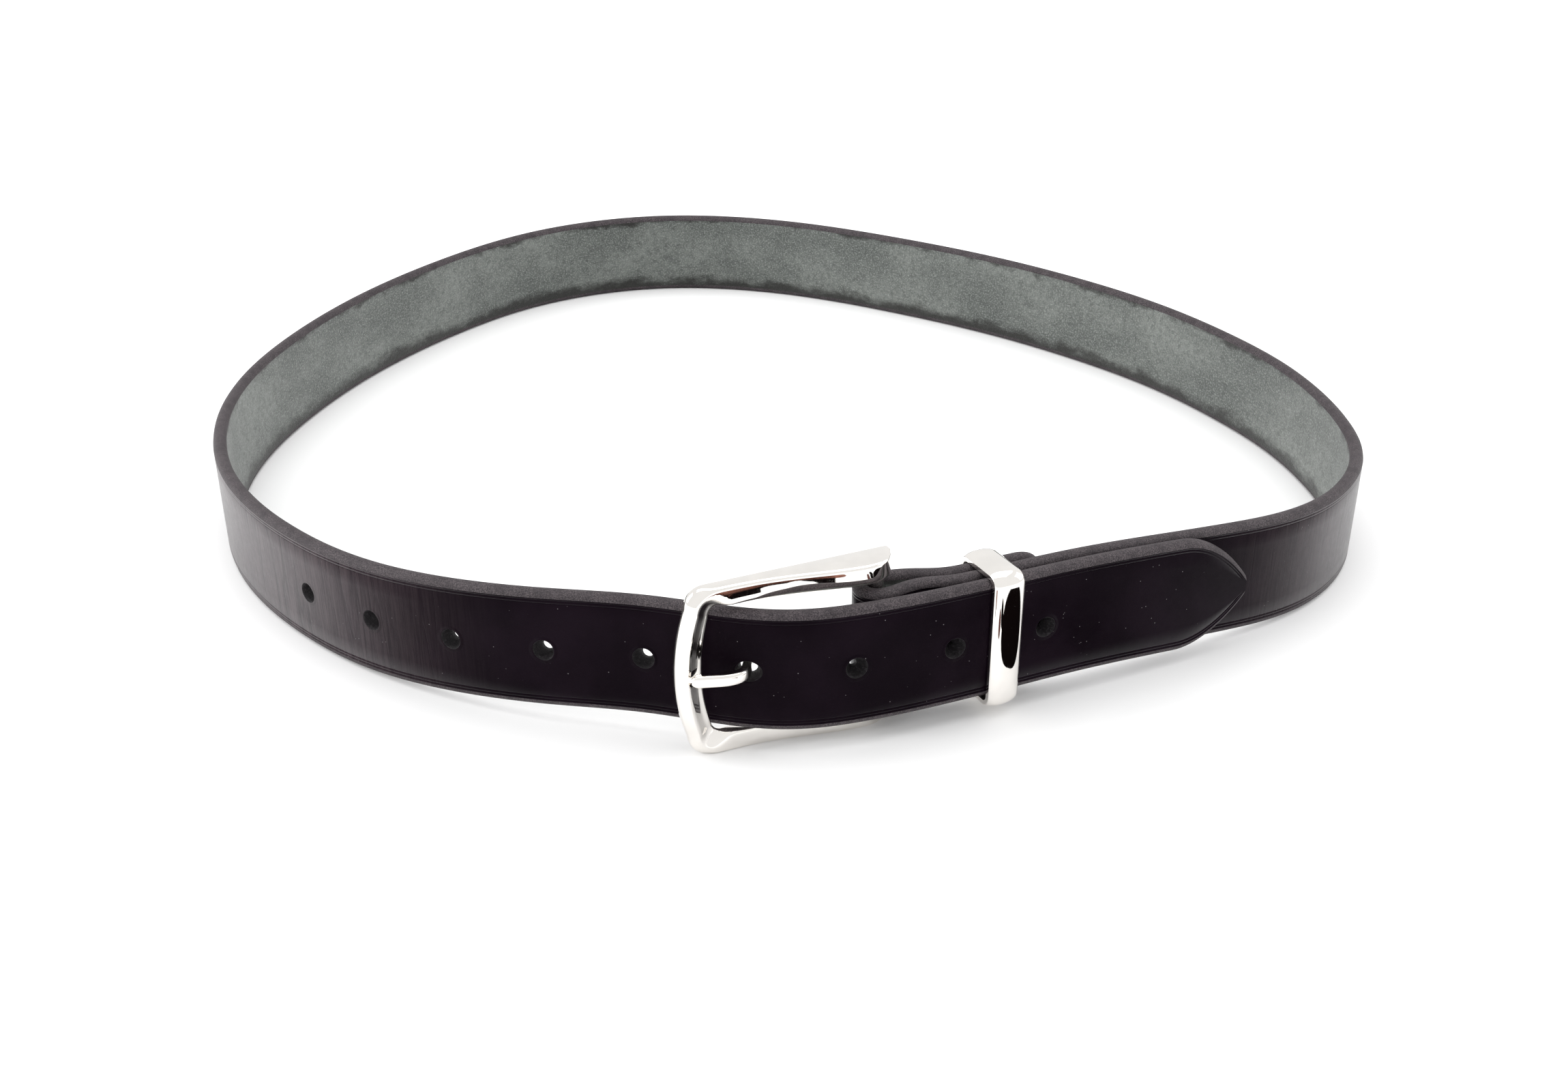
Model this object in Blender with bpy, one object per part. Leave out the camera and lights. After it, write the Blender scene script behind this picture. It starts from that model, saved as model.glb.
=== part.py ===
"""A gentleman's leather belt, buckled and standing on its lower edge.

One strap of leather runs from its pointed tip, through the buckle, right round
the loop, under its own tip and through the keeper, and is folded back round the
buckle's heel bar, where two binding screws hold the fold shut.

World axes: +Z up, the buckle faces -Y, and +X is to the right of someone who
looks at the buckle.  The origin is the bottom centre of the whole belt.

Places near the buckle are given in the lap frame: its origin is the heel bar's
axis, "along" runs to the right with the lapped part of the strap and "out" runs
away from the middle of the loop.
"""
import math

import bmesh
import bpy
import numpy as np
from mathutils import Vector

MM = 0.001                      # every length below is in millimetres times MM

# Leather
STRAP_WIDTH = 32.0 * MM         # a 1 1/4 inch strap
STRAP_THICK = 3.8 * MM
EDGE_CHAMFER = 1.1 * MM
LIFT_AT_BUCKLE = 5.6 * MM       # how far the buckle lifts the strap off the floor
LIFT_LEVEL = 42.0 * MM          # plan distance from the heel bar that stays level
LIFT_REACH = 150.0 * MM         # plan distance from the heel bar where the lift ends
TIP_TAPER = 24.0 * MM
TAIL_TAPER = 9.0 * MM           # rounded end of the turned-back leather
FOLD_RADIUS = 3.95 * MM         # of the leather's middle round the heel bar

# Punched holes, an inch apart, counted from the tip
HOLE_PITCH = 25.4 * MM
HOLE_RADIUS = 2.5 * MM
HOLES_TIPWARD = 3               # holes between the one in use and the tip
HOLES_LOOPWARD = 5              # holes on the far side of the one in use
HOLE_IN_USE_ALONG = -33.1 * MM
WORN_STRETCH = 1.1 * MM         # the used hole is pulled this much longer each way
SLOT_HALF_WIDTH = 2.7 * MM      # opening in the fold for the tongue
SLOT_LEFT, SLOT_RIGHT = -8.0 * MM, 7.0 * MM

# Buckle
FRAME_HEIGHT = 44.4 * MM
SIDE_HEIGHT = 5.1 * MM
FRONT_BAR_OUTER = -47.9 * MM    # along, at the front bar's ends
FRONT_BAR_INNER = -42.0 * MM
OUTER_BOW = 2.9 * MM            # how far the front bar bows at mid height
INNER_BOW = 1.9 * MM
OUTER_CORNER = 5.0 * MM
INNER_CORNER = 3.0 * MM
FRAME_BACK = -4.6 * MM          # out, all along the frame
FRAME_CHAMFER = 0.9 * MM
HEEL_END = 4.6 * MM             # along, where the two sides end
NOTCH_DEPTH = 1.7 * MM
NOTCH_HALF = 2.1 * MM
BAR_RADIUS = 1.75 * MM
BAR_GAP = 0.15 * MM             # between the bar and its bores in the frame
BAR_LENGTH = 40.0 * MM
TONGUE_Z = 21.9 * MM
TONGUE_HALF_WIDTH = 1.6 * MM
EYE_RADIUS = 2.95 * MM          # middle of the eye that rides on the heel bar
EYE_THICK = 1.6 * MM
TONGUE_THICK = 2.4 * MM

# Keeper
KEEPER_CENTRE = 28.8 * MM       # along
KEEPER_WIDTH = 8.4 * MM
KEEPER_INNER_OUT = 12.45 * MM   # out, inside of the outer wall
KEEPER_INNER_IN = -1.25 * MM    # out, inside of the inner wall
KEEPER_INNER_LOW = 4.45 * MM
KEEPER_INNER_HIGH = 37.75 * MM
KEEPER_WALL = 1.3 * MM          # at its two rims
KEEPER_CROWN = 0.8 * MM         # what its domed outside adds in the middle
KEEPER_CORNER = 1.6 * MM

# Binding screws: a flanged tube from the outer side, a slotted screw from the inner
SCREW_PLACES = (16.6 * MM, 40.6 * MM)
FLANGE_RADIUS = 3.5 * MM
FLANGE_THICK = 0.9 * MM
TUBE_RADIUS = 2.0 * MM
THREAD_RADIUS = 1.3 * MM
SHANK_RADIUS = 1.0 * MM
SCREW_GAP = 0.3 * MM
SCREW_SEAT = 0.4 * MM           # how deep a screw's head is let into the turned-back leather
SCREW_SLOT = (0.9 * MM, 0.4 * MM)

# Plan of the lap
HEEL_BAR = (22.0 * MM, -95.1 * MM)
LAP_ANGLE = math.radians(25.0)
ALONG = Vector((math.cos(LAP_ANGLE), math.sin(LAP_ANGLE), 0.0))
OUT = Vector((math.sin(LAP_ANGLE), -math.cos(LAP_ANGLE), 0.0))

# Middle line of the leather, from the tip to the turned-back end.
# Lap points are (along, out); loop points are (x, y).  All in millimetres.
TIP_LAP = ((106.5, 8.5), (90, 9.35), (70, 9.9), (50, 10.1), (30, 10.1), (12, 9.8),
           (-8.2, 8.3), (-17.5, 6.6), (-26.7, 3.2), (-37.6, -4.1))
LOOP = ((-32.5, -101.8), (-57, -95.8), (-79, -88), (-101, -76.5), (-129, -54),
        (-154, -22), (-169, 15), (-174, 57.5), (-168.5, 101.5), (-155, 146),
        (-133, 190), (-100, 230.5), (-53, 251.5), (0, 243.5), (45, 219), (85, 189),
        (114, 160), (137, 130), (153, 100), (163.5, 72), (168.5, 46), (169.5, 20),
        (166, -3), (157.5, -21.5), (145.5, -36.5), (130.5, -48.3))
UNDER_LAP = ((100, 4.8), (85, 5.3), (60, 5.35), (44, 5.3), (32, 5.3), (25, 5.3),
             (20, 5.15), (15, 4.1), (10.5, 3.05), (5.5, 3.3))
FOLD_STEPS = 6
TURN_BACK = ((5.5, -3.7), (11, -2.1), (15, -0.35), (20, 1.0), (25, 1.2), (32, 1.2),
             (39, 1.2), (46.5, 1.2))

# Tongue, from the eye to its end, as (along, out) in millimetres
TONGUE_SHANK = ((-7, -3.2), (-18, -4.1), (-26, -5.4), (-30, -5.2), (-32.2, -2.9),
                (-33.8, -0.2), (-35.6, 1.7), (-38.5, 2.3), (-43.0, 1.2), (-47.7, -0.3))

# Outer edge of the frame's sides, seen from above: (along, out) in millimetres
SIDE_EDGE = ((-52, -0.6), (-42, -0.6), (-34, -0.6), (-26, 0.1), (-18, 1.6), (-10, 3.4),
             (-4.5, 4.2), (-1, 3.9), (2, 2.2), (4, -0.3), (4.6, -1.6))


# --- geometry helpers -----------------------------------------------------------

def lap(along, out, height=0.0):
    """World position of a point given in the lap frame, in metres."""
    foot = Vector((HEEL_BAR[0], HEEL_BAR[1], height))
    return foot + ALONG * along + OUT * out


class Spline:
    """Natural cubic spline through plan points, measured along its length."""

    def __init__(self, points):
        self.points = np.array(points, dtype=float)
        steps = np.linalg.norm(np.diff(self.points, axis=0), axis=1)
        self.knots = np.concatenate(([0.0], np.cumsum(steps)))
        self.bends = self.second_derivatives()
        fine = np.linspace(0.0, self.knots[-1], 4001)
        places = np.array([self.at_knot(u) for u in fine])
        runs = np.linalg.norm(np.diff(places, axis=0), axis=1)
        self.fine = fine
        self.lengths = np.concatenate(([0.0], np.cumsum(runs)))
        self.length = float(self.lengths[-1])

    def second_derivatives(self):
        count = len(self.points)
        gaps = np.diff(self.knots)
        matrix = np.eye(count)
        right = np.zeros_like(self.points)
        for i in range(1, count - 1):
            matrix[i, i - 1] = gaps[i - 1]
            matrix[i, i] = 2.0 * (gaps[i - 1] + gaps[i])
            matrix[i, i + 1] = gaps[i]
            ahead = (self.points[i + 1] - self.points[i]) / gaps[i]
            behind = (self.points[i] - self.points[i - 1]) / gaps[i - 1]
            right[i] = 6.0 * (ahead - behind)
        return np.linalg.solve(matrix, right)

    def at_knot(self, u):
        i = int(np.clip(np.searchsorted(self.knots, u) - 1, 0, len(self.knots) - 2))
        gap = self.knots[i + 1] - self.knots[i]
        b = (u - self.knots[i]) / gap
        a = 1.0 - b
        bend = (a ** 3 - a) * self.bends[i] + (b ** 3 - b) * self.bends[i + 1]
        return a * self.points[i] + b * self.points[i + 1] + bend * gap * gap / 6.0

    def place(self, distance):
        """Point at a distance from the start, as (x, y)."""
        return self.at_knot(np.interp(distance, self.lengths, self.fine))

    def tangent(self, distance):
        step = 0.05 * MM
        low = max(distance - step, 0.0)
        high = min(distance + step, self.length)
        way = self.place(high) - self.place(low)
        return way / np.linalg.norm(way)

    def nearest(self, target, low, high):
        """Distance of the point nearest a plan point, between two distances."""
        tries = np.linspace(low, high, 2001)
        gaps = [np.linalg.norm(self.place(d) - np.array(target)) for d in tries]
        return float(tries[int(np.argmin(gaps))])


def loft(name, rings, closed=False):
    """A closed body through rings of points; the ends are capped unless closed."""
    mesh = bmesh.new()
    made = [[mesh.verts.new(point) for point in ring] for ring in rings]
    sides = len(made[0])
    pairs = list(zip(made, made[1:]))
    if closed:
        pairs.append((made[-1], made[0]))
    for one, two in pairs:
        for i in range(sides):
            j = (i + 1) % sides
            mesh.faces.new((one[i], one[j], two[j], two[i]))
    if not closed:
        mesh.faces.new(list(reversed(made[0])))
        mesh.faces.new(made[-1])
    return closed_body(name, mesh)


def closed_body(name, mesh):
    """An object from a bmesh, with its faces pointing out."""
    bmesh.ops.recalc_face_normals(mesh, faces=mesh.faces)
    if mesh.calc_volume(signed=True) < 0.0:
        bmesh.ops.reverse_faces(mesh, faces=mesh.faces)
    data = bpy.data.meshes.new(name)
    mesh.to_mesh(data)
    mesh.free()
    return add(name, data)


def add(name, data):
    body = bpy.data.objects.new(name, data)
    bpy.context.scene.collection.objects.link(body)
    return body


def turned(name, profile, centre, axis, steps=16):
    """A turned body from (distance along the axis, radius) pairs, ending on the axis."""
    axis = axis.normalized()
    side = axis.orthogonal().normalized()
    other = axis.cross(side)
    mesh = bmesh.new()
    rings = []
    for height, radius in profile:
        middle = centre + axis * height
        if radius == 0.0:
            rings.append([mesh.verts.new(middle)] * steps)
            continue
        ring = []
        for k in range(steps):
            angle = 2.0 * math.pi * k / steps
            ray = side * math.cos(angle) + other * math.sin(angle)
            ring.append(mesh.verts.new(middle + ray * radius))
        rings.append(ring)
    for one, two in zip(rings, rings[1:]):
        for i in range(steps):
            j = (i + 1) % steps
            corners = dict.fromkeys((one[i], one[j], two[j], two[i]))
            mesh.faces.new(list(corners))
    return closed_body(name, mesh)


def rod(name, centre, axis, half_length, radius, steps=16):
    """A plain cylinder with flat ends."""
    axis = axis.normalized()
    side = axis.orthogonal().normalized()
    other = axis.cross(side)
    rings = []
    for end in (-half_length, half_length):
        ring = []
        for k in range(steps):
            angle = 2.0 * math.pi * k / steps
            ray = side * math.cos(angle) + other * math.sin(angle)
            ring.append(centre + axis * end + ray * radius)
        rings.append(ring)
    return loft(name, rings)


def prism(name, outline, direction):
    """An outline of world points pushed along a direction."""
    far = [point + direction for point in outline]
    return loft(name, [outline, far])


def join(bodies, name):
    """Several closed bodies in one object."""
    mesh = bmesh.new()
    for body in bodies:
        mesh.from_mesh(body.data)
        bpy.data.objects.remove(body)
    data = bpy.data.meshes.new(name)
    mesh.to_mesh(data)
    mesh.free()
    return add(name, data)


def cut(body, cutter):
    """Cut one object with another, which is then only a guide."""
    cutter.hide_render = True
    cutter.display_type = 'WIRE'
    boolean = body.modifiers.new(cutter.name, 'BOOLEAN')
    boolean.operation = 'DIFFERENCE'
    boolean.solver = 'EXACT'
    boolean.object = cutter


def set_origin(body, point):
    """Move an object's origin without moving its shape."""
    for vertex in body.data.vertices:
        vertex.co -= point
    body.location = point


def finish(body, colour, roughness, metallic, round_angle=35.0):
    material = bpy.data.materials.new(body.name)
    material.use_nodes = True
    shader = material.node_tree.nodes["Principled BSDF"]
    shader.inputs["Base Color"].default_value = (*colour, 1.0)
    shader.inputs["Roughness"].default_value = roughness
    shader.inputs["Metallic"].default_value = metallic
    body.data.materials.append(material)
    body.data.shade_smooth()
    body.data.set_sharp_from_angle(angle=math.radians(round_angle))


LEATHER = ((0.022, 0.017, 0.024), 0.42, 0.0)
NICKEL = ((0.86, 0.84, 0.80), 0.08, 1.0)
STEEL = ((0.62, 0.61, 0.59), 0.25, 1.0)


# --- the strap ------------------------------------------------------------------

def strap_path():
    """The leather's middle line in plan."""
    points = [lap(a * MM, o * MM)[:2] for a, o in TIP_LAP]
    points += [(x * MM, y * MM) for x, y in LOOP]
    points += [lap(a * MM, o * MM)[:2] for a, o in UNDER_LAP]
    for k in range(FOLD_STEPS + 1):
        angle = math.pi * (0.5 + k / FOLD_STEPS)
        fold = lap(FOLD_RADIUS * math.cos(angle), FOLD_RADIUS * math.sin(angle))
        points.append(fold[:2])
    points += [lap(a * MM, o * MM)[:2] for a, o in TURN_BACK]
    return Spline(points)


def lift(x, y):
    """Height of the strap's lower edge above the floor."""
    away = math.hypot(x - HEEL_BAR[0], y - HEEL_BAR[1])
    share = (away - LIFT_LEVEL) / (LIFT_REACH - LIFT_LEVEL)
    share = min(max(share, 0.0), 1.0)
    return LIFT_AT_BUCKLE * 0.5 * (1.0 + math.cos(math.pi * share))


def half_width(distance, length):
    """Half the strap's width, which falls to a point at the tip."""
    full = STRAP_WIDTH / 2.0
    if distance < TIP_TAPER:
        rest = (1.0 - distance / TIP_TAPER) ** 1.9
        return full * max(1.0 - rest, 0.0) ** 0.91
    to_tail = length - distance
    if to_tail < TAIL_TAPER:
        rest = (1.0 - to_tail / TAIL_TAPER) ** 2.6
        return full * (0.45 + 0.55 * math.sqrt(1.0 - rest))
    return full


def strap_ring(path, distance):
    """The chamfered outline of the strap where it is cut across."""
    x, y = path.place(distance)
    tx, ty = path.tangent(distance)
    side = Vector((-ty, tx, 0.0))
    half = half_width(distance, path.length)
    middle = Vector((x, y, lift(x, y) + STRAP_WIDTH / 2.0))
    thick = STRAP_THICK / 2.0
    corner = min(EDGE_CHAMFER, half * 0.6)
    outline = ((thick, half - corner), (thick - corner, half),
               (corner - thick, half), (-thick, half - corner),
               (-thick, corner - half), (corner - thick, -half),
               (thick - corner, -half), (thick, corner - half))
    return [middle + side * a + Vector((0.0, 0.0, b)) for a, b in outline]


def strap_stations(path):
    """Distances where the strap is cut across: close where it bends or tapers."""
    tip = (0.3, 0.8, 1.6, 3, 5, 8, 12, 16, 20, 24)
    marks = [d * MM for d in tip]
    fold_start = path.nearest(lap(9 * MM, 3 * MM)[:2], path.length * 0.85, path.length)
    distance = marks[-1]
    while distance < fold_start:
        near = distance < 190 * MM or distance > fold_start - 40 * MM
        distance += 5 * MM if near else 9 * MM
        marks.append(distance)
    while distance < path.length - TAIL_TAPER:
        tight = distance < fold_start + 32 * MM
        distance += 1.3 * MM if tight else 4 * MM
        marks.append(distance)
    tail = (6, 4, 2.5, 1.2, 0.5, 0.0)
    marks = [d for d in marks if d < path.length - 8.5 * MM]
    marks += [path.length - d * MM for d in tail]
    return marks


def across(path, distance):
    """Centre and outward direction of the strap at a distance, at mid width."""
    x, y = path.place(distance)
    tx, ty = path.tangent(distance)
    return Vector((x, y, lift(x, y) + STRAP_WIDTH / 2.0)), Vector((-ty, tx, 0.0))


def hole_distances(path):
    used = path.nearest(lap(HOLE_IN_USE_ALONG, -0.9 * MM)[:2], 0.1, 0.18)
    return used, [used + k * HOLE_PITCH for k in range(-HOLES_TIPWARD, HOLES_LOOPWARD + 1)]


def strap_holes(path):
    used, places = hole_distances(path)
    cutters = []
    for place in places:
        centre, side = across(path, place)
        if place == used:
            centre.z = TONGUE_Z
            way = Vector((-side.y, side.x, 0.0))
            outline = []
            for k in range(16):
                angle = 2.0 * math.pi * (k + 0.5) / 16
                stretch = math.copysign(WORN_STRETCH, math.cos(angle))
                run = HOLE_RADIUS * math.cos(angle) + stretch
                rise = HOLE_RADIUS * math.sin(angle)
                outline.append(centre - side * 3 * MM + way * run + Vector((0, 0, rise)))
            cutters.append(prism("hole", outline, side * 6 * MM))
        else:
            cutters.append(rod("hole", centre, side, 3 * MM, HOLE_RADIUS, steps=12))
    return join(cutters, "cut_punched_holes")


def slot_cutter():
    """Opening in the fold that lets the tongue reach the heel bar."""
    middle = LIFT_AT_BUCKLE + STRAP_WIDTH / 2.0
    depth = 7.0 * MM
    outline = [lap(SLOT_LEFT, -depth, middle + SLOT_HALF_WIDTH),
               lap(SLOT_LEFT, -depth, middle - SLOT_HALF_WIDTH)]
    straight = SLOT_RIGHT - SLOT_HALF_WIDTH
    for k in range(7):
        angle = math.pi * (k / 6 - 0.5)
        outline.append(lap(straight + SLOT_HALF_WIDTH * math.cos(angle), -depth,
                           middle + SLOT_HALF_WIDTH * math.sin(angle)))
    return prism("cut_tongue_slot", outline, OUT * (2.0 * depth))


def screw_axis(path, along):
    """Middle of the doubled leather at a screw, its outward direction, its depth."""
    last = path.length
    under = path.nearest(lap(along, 4.5 * MM)[:2], last * 0.8, last - 75 * MM)
    front, side = across(path, under)
    back_at = path.nearest(lap(along, 0.4 * MM)[:2], last - 48 * MM, last)
    back, other = across(path, back_at)
    outward = (side - other).normalized()
    depth = (front - back).dot(outward) + STRAP_THICK
    return (front + back) / 2.0, outward, depth


def screw_cutters(path):
    cutters = []
    for along in SCREW_PLACES:
        centre, outward, depth = screw_axis(path, along)
        face = depth / 2.0
        rim = FLANGE_RADIUS + SCREW_GAP
        bore = TUBE_RADIUS + SCREW_GAP
        floor = face - FLANGE_THICK - SCREW_GAP
        seat = SCREW_SEAT - face
        beyond = face + 1.5 * MM
        profile = ((-beyond, 0.0), (-beyond, rim), (seat, rim), (seat, bore),
                   (floor, bore), (floor, rim), (beyond, rim), (beyond, 0.0))
        cutters.append(turned("bore", profile, centre, outward))
    return join(cutters, "cut_screw_holes")


def make_strap(path):
    rings = [strap_ring(path, distance) for distance in strap_stations(path)]
    strap = loft("strap", rings)
    cut(strap, strap_holes(path))
    cut(strap, slot_cutter())
    cut(strap, screw_cutters(path))
    finish(strap, *LEATHER)
    return strap


# --- the buckle -----------------------------------------------------------------

def side_edge(along):
    """How far out the frame reaches at a place along it."""
    places = [a * MM for a, _ in SIDE_EDGE]
    reach = [o * MM for _, o in SIDE_EDGE]
    return float(np.interp(along, places, reach))


def frame_outline(left, bow, corner, low, high, steps):
    """Half ring seen from the front: from the heel's top, round, to its bottom."""
    runs = (1.0, 0.87, 0.74, 0.61, 0.48, 0.34, 0.2, 0.08, 0.0)
    start = left + corner
    top = [(start + (HEEL_END - start) * r, high) for r in runs]
    bend = []
    for k in range(1, steps + 1):
        angle = 0.5 * math.pi * k / steps
        bend.append((start - corner * math.sin(angle), high - corner * (1 - math.cos(angle))))
    middle = (low + high) / 2.0
    reach = (high - low) / 2.0 - corner
    bar = []
    for k in range(1, 8):
        rise = 1.0 - k / 4.0
        bar.append((left - bow * (1.0 - rise * rise), middle + reach * rise))
    half = top + bend
    mirrored = [(a, low + high - z) for a, z in reversed(half)]
    return half + bar + mirrored


def frame_ring(outer, inner):
    """Chamfered cross-section between one outer and one inner point."""
    front = side_edge((outer[0] + inner[0]) / 2.0)
    back = FRAME_BACK
    chamfer = min(FRAME_CHAMFER, (front - back) * 0.3)
    across_ring = ((0.0, front - chamfer), (0.22, front), (0.7, front), (1.0, front - chamfer),
                   (1.0, back + chamfer * 0.5), (0.88, back), (0.12, back),
                   (0.0, back + chamfer * 0.5))
    ring = []
    for share, out in across_ring:
        along = outer[0] + (inner[0] - outer[0]) * share
        height = outer[1] + (inner[1] - outer[1]) * share
        ring.append(lap(along, out, height))
    return ring


def make_frame():
    outer = frame_outline(FRONT_BAR_OUTER, OUTER_BOW, OUTER_CORNER, 0.0, FRAME_HEIGHT, 5)
    inner = frame_outline(FRONT_BAR_INNER, INNER_BOW, INNER_CORNER, SIDE_HEIGHT,
                          FRAME_HEIGHT - SIDE_HEIGHT, 5)
    frame = loft("buckle_frame", [frame_ring(o, i) for o, i in zip(outer, inner)])
    bore = rod("cut_bar_bores", lap(0, 0, FRAME_HEIGHT / 2), Vector((0, 0, 1)),
               BAR_LENGTH / 2 + BAR_GAP, BAR_RADIUS + BAR_GAP, steps=16)
    cut(frame, bore)
    notch_floor = side_edge(FRONT_BAR_INNER) - NOTCH_DEPTH
    left = FRONT_BAR_OUTER - OUTER_BOW + 2.4 * MM
    right = FRONT_BAR_INNER + 2 * MM
    outline = [lap(left, notch_floor, TONGUE_Z - NOTCH_HALF),
               lap(right, notch_floor, TONGUE_Z - NOTCH_HALF),
               lap(right, notch_floor, TONGUE_Z + NOTCH_HALF),
               lap(left, notch_floor, TONGUE_Z + NOTCH_HALF)]
    cut(frame, prism("cut_notch", outline, OUT * 4 * MM))
    set_origin(frame, lap(0, 0, FRAME_HEIGHT / 2))
    finish(frame, *NICKEL)
    return frame


def make_heel_bar():
    bar = rod("heel_bar", lap(0, 0, FRAME_HEIGHT / 2), Vector((0, 0, 1)),
              BAR_LENGTH / 2, BAR_RADIUS, steps=20)
    set_origin(bar, lap(0, 0, FRAME_HEIGHT / 2))
    finish(bar, *STEEL)
    return bar


def make_tongue():
    """A flat bar curled into an eye round the heel bar, with a swan neck."""
    points = []
    for degrees in (150, 120, 90, 60, 30, 0, -30, -60, -90):
        angle = math.radians(degrees)
        points.append((EYE_RADIUS * math.cos(angle), EYE_RADIUS * math.sin(angle)))
    eye_count = len(points)
    points += [(a * MM, o * MM) for a, o in TONGUE_SHANK]
    line = Spline(points)
    eye_length = float(np.interp(line.knots[eye_count - 1], line.fine, line.lengths))
    rings = []
    distance = 0.0
    while distance < line.length:
        rings.append(tongue_ring(line, distance, eye_length))
        distance += 1.2 * MM if distance < eye_length else 1.8 * MM
    rings.append(tongue_ring(line, line.length, eye_length))
    tongue = loft("tongue", rings)
    set_origin(tongue, lap(0, 0, TONGUE_Z))
    finish(tongue, *NICKEL)
    return tongue


def tongue_ring(line, distance, eye_length):
    along, out = line.place(distance)
    ta, to = line.tangent(distance)
    grown = min(max((distance - eye_length) / (10 * MM), 0.0), 1.0)
    thick = (EYE_THICK + (TONGUE_THICK - EYE_THICK) * grown) / 2.0
    half = TONGUE_HALF_WIDTH
    to_end = line.length - distance
    if to_end < 2 * MM:
        fall = 1.0 - to_end / (2 * MM)
        half *= 1.0 - 0.45 * fall * fall
        thick *= 1.0 - 0.3 * fall * fall
    corner = 0.45 * MM
    section = ((thick, half - corner), (thick - corner, half), (corner - thick, half),
               (-thick, half - corner), (-thick, corner - half), (corner - thick, -half),
               (thick - corner, -half), (thick, corner - half))
    return [lap(along - to * t, out + ta * t, TONGUE_Z + z) for t, z in section]


# --- the keeper -----------------------------------------------------------------

def rounded_box(low, high, left, right, radius, steps=3):
    """Corner-rounded outline in (out, height), as points with outward directions."""
    corners = ((right - radius, high - radius, 0.0), (left + radius, high - radius, 90.0),
               (left + radius, low + radius, 180.0), (right - radius, low + radius, 270.0))
    points = []
    for x, z, start in corners:
        for k in range(steps + 1):
            angle = math.radians(start + 90.0 * k / steps)
            way = (math.cos(angle), math.sin(angle))
            points.append(((x + radius * way[0], z + radius * way[1]), way))
    return points


def make_keeper():
    outline = rounded_box(KEEPER_INNER_LOW, KEEPER_INNER_HIGH, KEEPER_INNER_IN,
                          KEEPER_INNER_OUT, KEEPER_CORNER)
    half = KEEPER_WIDTH / 2.0
    dome = ((-1.0, 0.0), (-1.0, 1.0), (-0.75, 1.35), (-0.35, 1.55), (0.0, 1.62),
            (0.35, 1.55), (0.75, 1.35), (1.0, 1.0), (1.0, 0.0))
    crown = KEEPER_CROWN / 0.62
    rings = []
    for (out, height), way in outline:
        ring = []
        for run, level in dome:
            grow = KEEPER_WALL * min(level, 1.0) + crown * max(level - 1.0, 0.0)
            ring.append(lap(KEEPER_CENTRE + half * run, out + way[0] * grow,
                            height + way[1] * grow))
        rings.append(ring)
    keeper = loft("keeper", rings, closed=True)
    set_origin(keeper, lap(KEEPER_CENTRE, 5.6 * MM, FRAME_HEIGHT / 2))
    finish(keeper, *NICKEL)
    return keeper


# --- the binding screws ---------------------------------------------------------

def make_binding_screw(path, number):
    """One flanged tube and the slotted screw that is driven into it."""
    centre, outward, depth = screw_axis(path, SCREW_PLACES[number - 1])
    face = depth / 2.0
    tube_end = -face + 0.6 * MM
    shoulder = face - FLANGE_THICK
    bottom = shoulder - 0.2 * MM
    tube = turned(f"screw_post_{number}",
                  ((bottom, 0.0), (bottom, THREAD_RADIUS), (tube_end, THREAD_RADIUS),
                   (tube_end, TUBE_RADIUS), (shoulder, TUBE_RADIUS),
                   (shoulder, FLANGE_RADIUS), (face - 0.05 * MM, FLANGE_RADIUS),
                   (face - 0.05 * MM, 0.0)), centre, outward, steps=20)
    finish(tube, *STEEL)
    under_head = SCREW_SEAT - SCREW_GAP - face
    top = under_head - FLANGE_THICK
    screw = turned(f"screw_{number}",
                    ((top, 0.0), (top, FLANGE_RADIUS - 0.4 * MM),
                     (under_head - 0.4 * MM, FLANGE_RADIUS), (under_head, FLANGE_RADIUS),
                     (under_head, SHANK_RADIUS), (bottom - 0.5 * MM, SHANK_RADIUS),
                     (bottom - 0.5 * MM, 0.0)), centre, outward, steps=20)
    width, deep = SCREW_SLOT
    way = Vector((0, 0, 1)).cross(outward).normalized()
    corner = centre + outward * (top - 1 * MM) - way * (width / 2) - Vector((0, 0, 5 * MM))
    outline = [corner, corner + way * width, corner + way * width + Vector((0, 0, 10 * MM)),
               corner + Vector((0, 0, 10 * MM))]
    cut(screw, prism(f"cut_slot_{number}", outline, outward * (1 * MM + deep)))
    finish(screw, *STEEL)
    return tube, screw


# --- assembly -------------------------------------------------------------------

def centre_on_floor():
    """Shift everything so the belt's bottom centre is the origin."""
    bpy.context.view_layer.update()
    graph = bpy.context.evaluated_depsgraph_get()
    corners = []
    for body in bpy.context.scene.objects:
        if not body.hide_render:
            mesh = body.evaluated_get(graph).to_mesh()
            corners += [body.matrix_world @ vertex.co for vertex in mesh.vertices]
    lows = [min(corner[i] for corner in corners) for i in range(3)]
    highs = [max(corner[i] for corner in corners) for i in range(3)]
    shift = Vector(((lows[0] + highs[0]) / 2, (lows[1] + highs[1]) / 2, lows[2]))
    for body in bpy.context.scene.objects:
        body.location -= shift


def build():
    for old in list(bpy.data.objects):
        bpy.data.objects.remove(old)
    path = strap_path()
    make_strap(path)
    make_frame()
    make_heel_bar()
    make_tongue()
    make_keeper()
    for number in (1, 2):
        make_binding_screw(path, number)
    centre_on_floor()


build()
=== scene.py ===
"""A gentleman's leather belt, buckled and standing on its lower edge, as it looks.

The strap, the buckle's frame, its tongue and the keeper are made again here at a fine
scale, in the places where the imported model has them; the heel bar and the binding
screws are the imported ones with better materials.

Places near the buckle are given in the lap frame: its origin is the heel bar's axis,
"along" runs to the right with the lapped leather and "out" away from the loop.
"""
import math

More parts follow.
